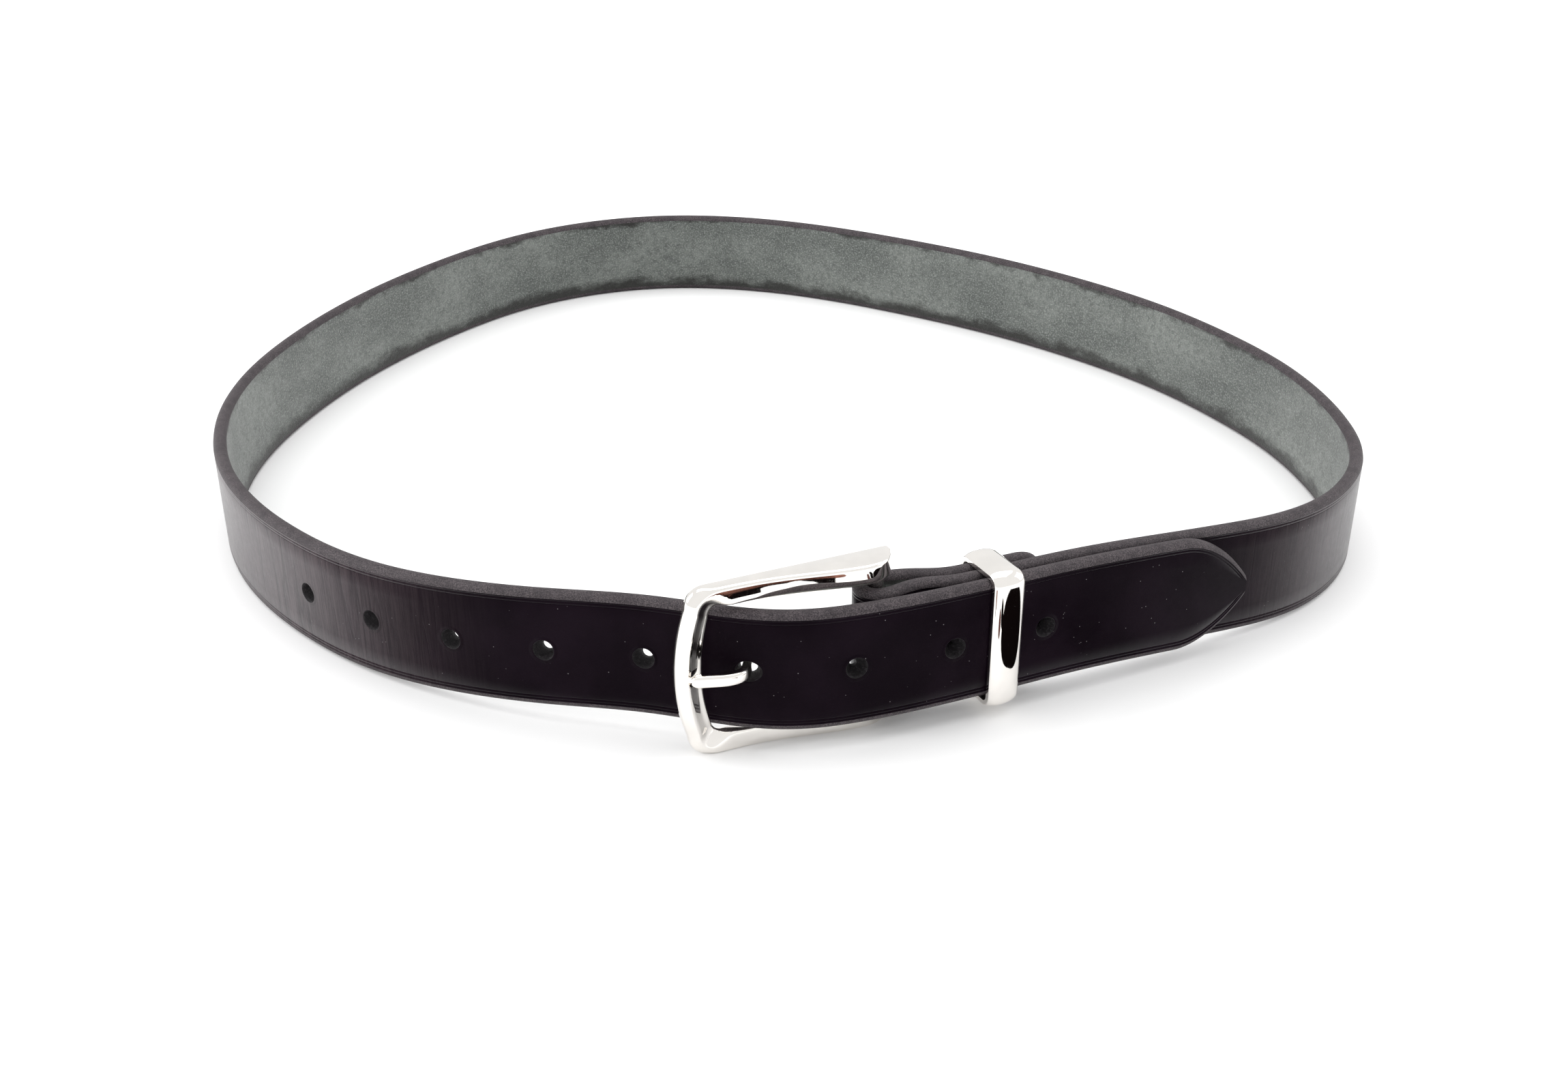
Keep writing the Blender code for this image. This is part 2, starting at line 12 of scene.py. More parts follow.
import bmesh
import bpy
import numpy as np
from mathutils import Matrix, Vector


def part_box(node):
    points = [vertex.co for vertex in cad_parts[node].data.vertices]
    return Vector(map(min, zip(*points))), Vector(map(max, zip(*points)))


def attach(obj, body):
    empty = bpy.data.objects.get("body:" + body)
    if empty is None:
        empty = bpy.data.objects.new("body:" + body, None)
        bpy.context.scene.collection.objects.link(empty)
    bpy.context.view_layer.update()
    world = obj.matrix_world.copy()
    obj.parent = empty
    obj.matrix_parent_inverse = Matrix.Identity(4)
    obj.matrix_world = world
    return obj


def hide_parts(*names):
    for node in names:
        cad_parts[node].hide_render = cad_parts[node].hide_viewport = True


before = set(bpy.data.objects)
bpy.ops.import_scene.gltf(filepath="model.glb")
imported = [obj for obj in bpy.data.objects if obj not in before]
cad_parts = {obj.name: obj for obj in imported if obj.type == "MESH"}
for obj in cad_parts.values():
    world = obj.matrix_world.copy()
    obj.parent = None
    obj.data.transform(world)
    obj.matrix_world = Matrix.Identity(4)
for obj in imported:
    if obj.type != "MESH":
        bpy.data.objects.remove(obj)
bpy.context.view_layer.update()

MM = 0.001
UP = Vector((0.0, 0.0, 1.0))

# Leather
STRAP_WIDTH = 32.0 * MM
STRAP_THICK = 3.8 * MM
EDGE_ROUND = 1.8 * MM           # how far in from each edge its round begins
EDGE_STEPS = 7
LIFT_AT_BUCKLE = 5.6 * MM       # the lower edge's height over the floor, which it keeps
LIFT_LEVEL = 42.0 * MM          # this far round the heel bar, and loses smoothly
LIFT_REACH = 150.0 * MM         # as far as this
TIP_TAPER = 24.0 * MM
TIP_CURVE, TIP_FULLNESS = 1.9, 0.91
TAIL_TAPER = 9.0 * MM
TAIL_CURVE = 2.6
TAIL_END = 0.45                 # the tail's width at its end, as a share of the full width
FOLD_RADIUS = 3.95 * MM
CREASE_INSETS = (2.3 * MM, 3.1 * MM)    # two lines pressed in along each edge
CREASE_DEPTH = 0.16 * MM
CREASE_REACH = 0.28 * MM        # half the width of a line
CREASE_FROM = 6.0 * MM          # the tip has lines where its half width is over this
GRAIN, EDGE, FLESH = range(3)   # the strap's sides, as the numbers of their materials

# Cuts across the strap, from which it is lofted
TIP_CUTS = (0.25, 0.6, 1.1, 1.7, 2.4, 3.2, 4.1, 5.0)        # mm from the tip's point
TAIL_CUTS = (8, 7, 6, 5, 4, 3.2, 2.4, 1.7, 1.1, 0.6, 0.25, 0.0)     # mm from the other end
TAIL_CLEAR = 8.6 * MM           # the even cuts stop this far from the other end
CUT_STEP = 1.5 * MM
FOLD_CUT_STEP = 0.6 * MM
FOLD_LEAD = 25.0 * MM           # how far before the fold the close cuts begin

# Punched holes
HOLE_PITCH = 25.4 * MM
HOLE_RADIUS = 2.4 * MM
HOLE_FLARE = 0.35 * MM          # the pressed-in rim on the grain side
HOLE_CLOSING = 1.0 * MM         # how much the fibres close a hole on the flesh side,
UNUSED_CLOSING = 1.5 * MM       # in the holes towards the tip, which nothing has opened,
WORN_CLOSING = 0.25 * MM        # and in the one in use
WORN_STRETCH = 1.0 * MM         # pulled this much along the strap at the grain face
HOLES_TIPWARD = 3
HOLES_LOOPWARD = 5
HOLE_IN_USE_ALONG = -33.1 * MM
PUNCH_REACH = 3.0 * MM          # half the length of a punch
SLOT_HALF_WIDTH = 2.7 * MM
SLOT_LEFT, SLOT_RIGHT = -8.0 * MM, 7.0 * MM
SLOT_REACH = 7.0 * MM
SLOT_STEPS = 12

# Buckle
FRAME_HEIGHT = 44.4 * MM
SIDE_HEIGHT = 5.1 * MM
FRONT_BAR_OUTER = -47.9 * MM
FRONT_BAR_INNER = -42.0 * MM
OUTER_BOW = 2.9 * MM
INNER_BOW = 1.9 * MM
OUTER_CORNER = 5.0 * MM
INNER_CORNER = 3.0 * MM
FRAME_BACK = -4.6 * MM
HEEL_END = 4.6 * MM
SIDE_CUTS, CORNER_CUTS, BAR_CUTS = 44, 14, 30
NOTCH_DEPTH = 1.7 * MM
NOTCH_HALF = 2.1 * MM
NOTCH_INSET = 2.4 * MM          # from the front bar's outermost edge
NOTCH_PAST = 2.0 * MM           # beyond the front bar's inner edge
NOTCH_CURVE = 0.8 * MM          # how far its rounded end bulges
BAR_RADIUS = 1.75 * MM
BAR_GAP = 0.15 * MM
BAR_LENGTH = 40.0 * MM
TONGUE_Z = 21.9 * MM
TONGUE_HALF_WIDTH = 1.6 * MM
EYE_RADIUS = 2.95 * MM
EYE_THICK = 1.6 * MM
TONGUE_THICK = 2.4 * MM
TONGUE_GROWS = 10.0 * MM        # from the eye's thickness to its own over this length
POINT_LENGTH = 2.0 * MM         # its end narrows over this length
TONGUE_CUTS, TONGUE_SIDES = 130, 24
TONGUE_SQUARE = 0.62            # 1 for an oval section, less for a squarer one

# Frame's cross-section, from its outer edge to its inner one: how far across each point
# is, and how far back from the front, in shares of the bar's fall or of a small round.
BAR_PROFILE = ((0.0, 1.1), (0.04, 0.86), (0.14, 0.48), (0.26, 0.12), (0.33, 0.0), (0.37, 0.04),
               (0.50, 0.34), (0.68, 0.76), (0.86, 1.12), (0.93, 1.16), (1.0, 1.4))
SIDE_PROFILE = ((0.0, 1.0), (0.02, 0.6), (0.06, 0.24), (0.12, 0.05), (0.20, 0.0), (0.40, 0.0),
                (0.60, 0.0), (0.82, 0.0), (0.92, 0.1), (0.98, 0.4), (1.0, 1.0))
BACK_PROFILE = ((1.0, 1.4), (0.95, 0.45), (0.84, 0.0), (0.12, 0.0), (0.04, 0.15), (0.0, 0.6))
BAR_FALL = 0.46                 # of the frame's depth
SIDE_ROUND = 0.8 * MM

# Keeper
KEEPER_CENTRE = 28.8 * MM
KEEPER_WIDTH = 8.4 * MM
KEEPER_INNER_OUT = 12.45 * MM
KEEPER_INNER_IN = -1.25 * MM
KEEPER_INNER_LOW = 4.45 * MM
KEEPER_INNER_HIGH = 37.75 * MM
KEEPER_WALL = 1.3 * MM
KEEPER_CROWN = 0.8 * MM
KEEPER_CORNER = 1.6 * MM
CORNER_STEPS = 10
DOME_STEPS = 16
DOME_RIM = 0.86                 # height of the dome's rim, in walls
DOME_RISE = 0.76                # and its rise above that

# Binding screws
SCREW_PLACES = (16.6 * MM, 40.6 * MM)
FLANGE_RADIUS = 3.5 * MM
FLANGE_THICK = 0.9 * MM
TUBE_RADIUS = 2.0 * MM
SCREW_GAP = 0.3 * MM
SCREW_SEAT = 0.4 * MM
PACKED_PIECES = ("heel_bar", "screw_post_1", "screw_post_2", "screw_1", "screw_2")

# Plan of the lap.  The loop's points are drawn about another origin than the packed
# model's, which the heel bar's place in both gives.
LAP_ANGLE = math.radians(25.0)
ALONG = Vector((math.cos(LAP_ANGLE), math.sin(LAP_ANGLE), 0.0))
OUT = Vector((math.sin(LAP_ANGLE), -math.cos(LAP_ANGLE), 0.0))
BAR_LOW, BAR_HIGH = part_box("heel_bar")
HEEL_BAR = (BAR_LOW + BAR_HIGH) / 2.0
LOOP_ORIGIN = (HEEL_BAR.x - 22.0 * MM, HEEL_BAR.y + 95.1 * MM)

# Plan courses, in millimetres: the strap's in the order in which it runs
TIP_LAP = ((106.5, 8.5), (90, 9.35), (70, 9.9), (50, 10.1), (30, 10.1), (12, 9.8),
           (-8.2, 8.3), (-17.5, 6.6), (-26.7, 3.2), (-37.6, -4.1))
LOOP = ((-32.5, -101.8), (-57, -95.8), (-79, -88), (-101, -76.5), (-129, -54),
        (-154, -22), (-169, 15), (-174, 57.5), (-168.5, 101.5), (-155, 146),
        (-133, 190), (-100, 230.5), (-53, 251.5), (0, 243.5), (45, 219), (85, 189),
        (114, 160), (137, 130), (153, 100), (163.5, 72), (168.5, 46), (169.5, 20),
        (166, -3), (157.5, -21.5), (145.5, -36.5), (130.5, -48.3))
UNDER_LAP = ((100, 4.8), (85, 5.3), (60, 5.35), (44, 5.3), (32, 5.3), (25, 5.3),
             (20, 5.15), (15, 4.1), (10.5, 3.05), (5.5, 3.3))
FOLD_STEPS = 6
TURN_BACK = ((5.5, -3.7), (11, -2.1), (15, -0.35), (20, 1.0), (25, 1.2), (32, 1.2),
             (39, 1.2), (46.5, 1.2))
TONGUE_SHANK = ((-7, -3.2), (-18, -4.1), (-26, -5.4), (-30, -5.2), (-32.2, -2.9),
                (-33.8, -0.2), (-35.6, 1.7), (-38.5, 2.3), (-43.0, 1.2), (-47.7, -0.3))
EYE_ANGLES = range(150, -91, -30)       # degrees round the heel bar
SIDE_EDGE = ((-52, -0.6), (-42, -0.6), (-34, -0.6), (-26, 0.1), (-18, 1.6), (-10, 3.4),
             (-4.5, 4.2), (-1, 3.9), (2, 2.2), (4, -0.3), (4.6, -1.6))
LEFT_BEND = ((-101, -76.5), (-174, 57.5))       # where the two tight bends begin and end
RIGHT_BEND = ((168.5, 46), (130.5, -48.3))

# Colours of the object, linear
GRAIN_DARK, GRAIN_LIGHT = (0.0042, 0.0019, 0.0041), (0.0080, 0.0041, 0.0078)
# Painted sheen: pale leather colours round the two tight bends, standing in for the gloss they
# catch
PAINTED_SHEEN_DARK, PAINTED_SHEEN_LIGHT = (0.040, 0.027, 0.033), (0.120, 0.090, 0.098)
# Painted shade in the creases of the wrinkles at the bends
WRINKLE_SHADE = (0.012, 0.008, 0.011)
DUST = (0.35, 0.33, 0.34)
# Painted shade: the walls of the punched holes, darkened as a hole's inside in shade, with paler
# torn fibres
PUNCHED_SHADE_DARK, PUNCHED_SHADE_LIGHT = (0.0050, 0.0035, 0.0050), (0.050, 0.045, 0.049)
EDGE_DARK, EDGE_LIGHT = (0.020, 0.016, 0.019), (0.110, 0.092, 0.098)
EDGE_SHADE = (0.018, 0.014, 0.017)
FLESH_DARK, FLESH_LIGHT = (0.092, 0.100, 0.094), (0.172, 0.184, 0.172)
FLESH_TUFT, FLESH_NAP = (0.058, 0.064, 0.060), (0.29, 0.31, 0.29)
FLESH_DYE = (0.016, 0.015, 0.014)
NICKEL = (0.93, 0.90, 0.86)
STEEL = (0.66, 0.65, 0.63)

# Camera and studio, in metres
CAMERA_PLACE = (0.002186, -0.508389, 0.21902)
CAMERA_TILT = math.radians(63.5036)     # up from straight down
LENS, SENSOR_WIDTH = 37.58, 36.0        # mm
SKY_STRENGTH = 0.95
FLOOR_RADIUS = 3.0
FLOOR_COLOUR = (0.96, 0.96, 0.96, 1.0)
LAMPS = (                       # name, place, target, width, height, watts
    ("top_light", (0.0, 0.15, 1.3), (0.0, 0.0, 0.0), 1.6, 1.2, 8.0),
    ("left_light", (-1.2, -0.1, 0.6), (0.0, 0.0, 0.05), 0.9, 0.8, 9.0),
    ("right_light", (1.2, 0.1, 0.6), (0.0, 0.0, 0.05), 0.8, 0.8, 4.0))
CARD_HEIGHT = 0.3 * MM
CARD_BLACK = (0.003, 0.002, 0.002)
CARD_STREAK = (0.13, 0.05, 0.045)
CARD_HAND = (0.34, 0.15, 0.11)
CARD_FOLDS = (0.02, 0.01, 0.008)
# Name, the height in mm at which the keeper mirrors it, how far the keeper's face turns
# along the strap there, length, width, turn in degrees, colour, mottled
KEEPER_CARDS = (
    ("card_keeper", 29.3, 0.07, 0.062, 0.062, -24.0, CARD_BLACK, False),
    ("card_streak", 29.0, -0.34, 0.024, 0.008, -68.0, CARD_STREAK, True))
SIDE_CARD_WIDTH = 0.026
# Name, place along the frame's side in mm, length, colour, mottled
SIDE_CARDS = (
    ("card_corner", -40.5, 0.010, CARD_BLACK, False),
    ("card_hand", -17.0, 0.030, CARD_HAND, True),
    ("card_end", -3.5, 0.010, CARD_BLACK, False))

PLACE = "strap_place"           # where a corner is on the strap, in millimetres


# --- camera, floor and light ----------------------------------------------------

def make_camera():
    data = bpy.data.cameras.new("camera")
    data.sensor_width = SENSOR_WIDTH
    data.lens = LENS
    data.clip_start = 0.01
    camera = bpy.data.objects.new("camera", data)
    bpy.context.scene.collection.objects.link(camera)
    camera.location = CAMERA_PLACE
    camera.rotation_euler = (CAMERA_TILT, 0.0, 0.0)
    bpy.context.scene.camera = camera


def panel(name, centre, target, width, height, strength):
    """A soft rectangular lamp that faces a target."""
    data = bpy.data.lights.new(name, 'AREA')
    data.shape = 'RECTANGLE'
    data.size = width
    data.size_y = height
    data.energy = strength
    lamp = bpy.data.objects.new(name, data)
    bpy.context.scene.collection.objects.link(lamp)
    lamp.location = centre
    lamp.rotation_euler = (Vector(target) - Vector(centre)).to_track_quat('-Z', 'Y').to_euler()


def disc(name, radius, sides, material):
    """A flat disc of the stage, at the world's origin."""
    mesh = bmesh.new()
    bmesh.ops.create_circle(mesh, cap_ends=True, segments=sides, radius=radius)
    data = bpy.data.meshes.new(name)
    mesh.to_mesh(data)
    mesh.free()
    data.materials.append(material)
    thing = bpy.data.objects.new(name, data)
    bpy.context.scene.collection.objects.link(thing)
    return thing


def card(name, centre, length, width, turn, colour, mottled=False):
    """A small oval of card lying on the floor, which only the polished metal and the
    gloss of the leather see, as they would a dark room or a hand beyond the light."""
    nodes = Nodes(name)
    nodes.constant(Roughness=0.95, Specular_IOR_Level=0.0, Base_Color=(*colour, 1.0))
    if mottled:
        folds = nodes.noise(nodes.scaled(nodes.solid(), (0.35, 2.2, 1.0)), 0.012, 4.0, 0.7)
        nodes.set(Base_Color=nodes.mix(nodes.fade(folds, 0.38, 0.6), CARD_FOLDS, colour))
    thing = disc(name, 0.5, 40, nodes.material)
    thing.scale = (length, width, 1.0)
    thing.rotation_euler = (0.0, 0.0, turn)
    thing.location = (centre[0], centre[1], CARD_HEIGHT)
    thing.visible_camera = False
    thing.visible_diffuse = False
    thing.visible_shadow = False


def mirrored_on_floor(point, facing):
    """Where the floor shows to the camera in a small upright mirror."""
    camera = bpy.context.scene.camera.location
    to_camera = (camera - point).normalized()
    way = facing.normalized() * (2.0 * facing.normalized().dot(to_camera)) - to_camera
    return point - way * (point.z / way.z)


def make_studio():
    scene = bpy.context.scene
    scene.view_settings.view_transform = 'Standard'
    scene.view_settings.look = 'None'
    world = bpy.data.worlds.new("studio")
    world.use_nodes = True
    sky = world.node_tree.nodes["Background"]
    sky.inputs["Color"].default_value = (1.0, 1.0, 1.0, 1.0)
    sky.inputs["Strength"].default_value = SKY_STRENGTH
    scene.world = world
    nodes = Nodes("floor")
    nodes.constant(Base_Color=FLOOR_COLOUR, Roughness=0.7)
    disc("floor", FLOOR_RADIUS, 48, nodes.material)
    for name, place, target, width, height, watts in LAMPS:
        panel(name, place, target, width, height, watts)


def make_cards():
    """Dark and warm cards that give the plating its long dark reflections: two in the
    keeper's face, and a row along the frame's upper side."""
    face = KEEPER_INNER_OUT + KEEPER_WALL
    for name, height, slope, length, width, turn, colour, mottled in KEEPER_CARDS:
        spot = mirrored_on_floor(lap(KEEPER_CENTRE, face, height * MM), OUT + ALONG * slope)
        card(name, spot, length, width, math.radians(turn), colour, mottled)
    height = FRAME_HEIGHT - SIDE_HEIGHT / 2
    for name, along, length, colour, mottled in SIDE_CARDS:
        slope = (side_edge(along * MM + MM) - side_edge(along * MM - MM)) / (2 * MM)
        spot = mirrored_on_floor(lap(along * MM, side_edge(along * MM), height),
                                 OUT - ALONG * slope)
        card(name, spot, length, SIDE_CARD_WIDTH, LAP_ANGLE, colour, mottled)


# --- curves and bodies ----------------------------------------------------------

def lap(along, out, height=0.0):
    """World position of a point given in the lap frame, in metres."""
    return Vector((HEEL_BAR.x, HEEL_BAR.y, height)) + ALONG * along + OUT * out


class Spline:
    """Natural cubic spline through plan points, measured along its length."""

    def __init__(self, points):
        self.points = np.array(points, dtype=float)
        steps = np.linalg.norm(np.diff(self.points, axis=0), axis=1)
        self.knots = np.concatenate(([0.0], np.cumsum(steps)))
        self.bends = self.second_derivatives()
        fine = np.linspace(0.0, self.knots[-1], 4001)
        places = np.array([self.at_knot(u) for u in fine])
        runs = np.linalg.norm(np.diff(places, axis=0), axis=1)
        self.fine = fine
        self.lengths = np.concatenate(([0.0], np.cumsum(runs)))
        self.length = float(self.lengths[-1])

    def second_derivatives(self):
        count = len(self.points)
        gaps = np.diff(self.knots)
        matrix = np.eye(count)
        right = np.zeros_like(self.points)
        for i in range(1, count - 1):
            matrix[i, i - 1] = gaps[i - 1]
            matrix[i, i] = 2.0 * (gaps[i - 1] + gaps[i])
            matrix[i, i + 1] = gaps[i]
            ahead = (self.points[i + 1] - self.points[i]) / gaps[i]
            behind = (self.points[i] - self.points[i - 1]) / gaps[i - 1]
            right[i] = 6.0 * (ahead - behind)
        return np.linalg.solve(matrix, right)

    def at_knot(self, u):
        i = int(np.clip(np.searchsorted(self.knots, u) - 1, 0, len(self.knots) - 2))
        gap = self.knots[i + 1] - self.knots[i]
        b = (u - self.knots[i]) / gap
        a = 1.0 - b
        bend = (a ** 3 - a) * self.bends[i] + (b ** 3 - b) * self.bends[i + 1]
        return a * self.points[i] + b * self.points[i + 1] + bend * gap * gap / 6.0

    def place(self, distance):
        """Point at a distance from the start, as (x, y)."""
        return self.at_knot(np.interp(distance, self.lengths, self.fine))

    def tangent(self, distance):
        step = 0.05 * MM
        way = (self.place(min(distance + step, self.length))
               - self.place(max(distance - step, 0.0)))
        return way / np.linalg.norm(way)

    def nearest(self, target, low, high):
        """Distance of the point nearest a plan point, between two distances."""
        tries = np.linspace(low, high, 2001)
        gaps = [np.linalg.norm(self.place(d) - np.array(target)) for d in tries]
        return float(tries[int(np.argmin(gaps))])


def object_from(name, mesh):
    """An object from a closed bmesh, with its faces pointing out."""
    bmesh.ops.recalc_face_normals(mesh, faces=mesh.faces)
    if mesh.calc_volume(signed=True) < 0.0:
        bmesh.ops.reverse_faces(mesh, faces=mesh.faces)
    data = bpy.data.meshes.new(name)
    mesh.to_mesh(data)
    mesh.free()
    thing = bpy.data.objects.new(name, data)
    bpy.context.scene.collection.objects.link(thing)
    return thing


def loft(name, rings, closed=False, places=None, kinds=None):
    """A closed body through rings.  Places are put on its corners and kinds are the
    material numbers of the strips round it."""
    mesh = bmesh.new()
    layer = mesh.loops.layers.float_vector.new(PLACE) if places else None
    made = [[mesh.verts.new(point) for point in ring] for ring in rings]
    sides = len(made[0])
    count = len(made)
    for r in range(count if closed else count - 1):
        n = (r + 1) % count
        for i in range(sides):
            j = (i + 1) % sides
            face = mesh.faces.new((made[r][i], made[r][j], made[n][j], made[n][i]))
            if kinds:
                face.material_index = kinds[i]
            if places:
                corners = (places[r][i], places[r][j], places[n][j], places[n][i])
                for loop, place in zip(face.loops, corners):
                    loop[layer] = place
    if not closed:
        for r in (0, count - 1):
            face = mesh.faces.new(made[r])
            if kinds:
                face.material_index = EDGE
            if places:
                for loop, place in zip(face.loops, places[r]):
                    loop[layer] = place
    return object_from(name, mesh)


def turned(name, profile, centre, axis, steps=32):
    """A turned body from (distance along the axis, radius) pairs, ending on the axis."""
    axis = axis.normalized()
    side = axis.orthogonal().normalized()
    other = axis.cross(side)
    mesh = bmesh.new()
    rings = []
    for height, radius in profile:
        middle = centre + axis * height
        if radius == 0.0:
            rings.append([mesh.verts.new(middle)] * steps)
            continue
        ring = []
        for k in range(steps):
            angle = 2.0 * math.pi * k / steps
            ray = side * math.cos(angle) + other * math.sin(angle)
            ring.append(mesh.verts.new(middle + ray * radius))
        rings.append(ring)
    for one, two in zip(rings, rings[1:]):
        for i in range(steps):
            j = (i + 1) % steps
            mesh.faces.new(list(dict.fromkeys((one[i], one[j], two[j], two[i]))))
    return object_from(name, mesh)


def cut(body, cutters, material=None):
    """Cut bodies out of one, for good, and remove them."""
    for cutter in cutters:
        if material:
            cutter.data.materials.append(material)
        boolean = body.modifiers.new(cutter.name, 'BOOLEAN')
        boolean.operation = 'DIFFERENCE'
        boolean.solver = 'EXACT'
        boolean.material_mode = 'TRANSFER'
        boolean.object = cutter
    bpy.context.view_layer.update()
    graph = bpy.context.evaluated_depsgraph_get()
    data = bpy.data.meshes.new_from_object(body.evaluated_get(graph))
    body.modifiers.clear()
    body.data = data
    for cutter in cutters:
        bpy.data.objects.remove(cutter)


def smooth(body, angle):
    """Shade smooth, but for edges sharper than angle degrees."""
    body.data.shade_smooth()
    body.data.set_sharp_from_angle(angle=math.radians(angle))


def stands_for(piece, node, body):
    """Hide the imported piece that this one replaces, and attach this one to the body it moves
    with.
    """
    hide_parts(node)
    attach(piece, body)


# --- materials ------------------------------------------------------------------

class Nodes:
    """A material's nodes, made and linked with short calls."""

    def __init__(self, name):
        self.material = bpy.data.materials.new(name)
        self.material.use_nodes = True
        self.tree = self.material.node_tree
        self.shader = self.tree.nodes["Principled BSDF"]

    def plug(self, socket, value):
        if isinstance(value, bpy.types.NodeSocket):
            self.tree.links.new(value, socket)
        else:
            socket.default_value = value

    def place(self):
        """Where the point is on the strap: along it and up it, in millimetres."""
        node = self.tree.nodes.new("ShaderNodeAttribute")
        node.attribute_name = PLACE
        return node.outputs["Vector"]

    def solid(self):
        """Where the point is on its object, in millimetres."""
        node = self.tree.nodes.new("ShaderNodeTexCoord")
        return self.scaled(node.outputs["Object"], (1000.0, 1000.0, 1000.0))

    def scaled(self, vector, scale):
        node = self.tree.nodes.new("ShaderNodeMapping")
        self.plug(node.inputs["Vector"], vector)
        node.inputs["Scale"].default_value = scale
        return node.outputs["Vector"]

    def part(self, vector, axis):
        node = self.tree.nodes.new("ShaderNodeSeparateXYZ")
        self.plug(node.inputs[0], vector)
        return node.outputs[axis]

    def noise(self, vector, scale, detail=3.0, rough=0.5):
        node = self.tree.nodes.new("ShaderNodeTexNoise")
        self.plug(node.inputs["Vector"], vector)
        node.inputs["Scale"].default_value = scale
        node.inputs["Detail"].default_value = detail
        node.inputs["Roughness"].default_value = rough
        return node.outputs["Fac"]

    def cells(self, vector, scale):
        node = self.tree.nodes.new("ShaderNodeTexVoronoi")
        self.plug(node.inputs["Vector"], vector)
        node.inputs["Scale"].default_value = scale
        return node.outputs["Distance"]

    def fade(self, value, low, high, start=0.0, end=1.0):
        """Smoothly from start to end as the value goes from low to high."""
        node = self.tree.nodes.new("ShaderNodeMapRange")
        node.interpolation_type = 'SMOOTHSTEP'
        self.plug(node.inputs["Value"], value)
        for name, number in (("From Min", low), ("From Max", high),
                             ("To Min", start), ("To Max", end)):
            self.plug(node.inputs[name], number)
        return node.outputs["Result"]

    def math(self, kind, one, two=0.0):
        node = self.tree.nodes.new("ShaderNodeMath")
        node.operation = kind
        self.plug(node.inputs[0], one)
        self.plug(node.inputs[1], two)
        return node.outputs[0]

    def mix(self, share, one, two):
        node = self.tree.nodes.new("ShaderNodeMix")
        node.data_type = 'RGBA'
        self.plug(node.inputs["Factor"], share)
        self.plug(node.inputs["A"], one if isinstance(one, bpy.types.NodeSocket) else (*one, 1.0))
        self.plug(node.inputs["B"], two if isinstance(two, bpy.types.NodeSocket) else (*two, 1.0))
        return node.outputs["Result"]

    def bump(self, height, distance, strength=1.0, under=None):
        node = self.tree.nodes.new("ShaderNodeBump")
        node.inputs["Strength"].default_value = strength
        node.inputs["Distance"].default_value = distance
        self.plug(node.inputs["Height"], height)
        if under:
            self.plug(node.inputs["Normal"], under)
        return node.outputs["Normal"]

    def set(self, **values):
        for name, value in values.items():
            self.plug(self.shader.inputs[name.replace("_", " ")], value)

    def constant(self, **values):
        """Numbers and colours that are the same all over, on the shader itself."""
        for name, value in values.items():
            self.shader.inputs[name.replace("_", " ")].default_value = value


def between(nodes, value, low, high, soft):
    """1 between low and high, falling to 0 over soft outside them."""
    rise = nodes.fade(value, low - soft, low + soft)
    fall = nodes.fade(value, high - soft, high + soft, 1.0, 0.0)
    return nodes.math('MULTIPLY', rise, fall)


def pressed_rings(nodes, along, up, first_hole, last_hole):
    """1 on a narrow ring round each punched hole."""
    pitch = HOLE_PITCH / MM
    turn = nodes.math('SUBTRACT', along, first_hole - pitch / 2.0)
    turn = nodes.math('SUBTRACT', nodes.math('MODULO', turn, pitch), pitch / 2.0)
    reach = nodes.math('SQRT', nodes.math('ADD', nodes.math('MULTIPLY', turn, turn),
                                          nodes.math('MULTIPLY', up, up)))
    punched = between(nodes, along, first_hole - 8.0, last_hole + 8.0, 1.0)
    return nodes.math('MULTIPLY', between(nodes, reach, 2.6, 3.3, 0.5), punched)


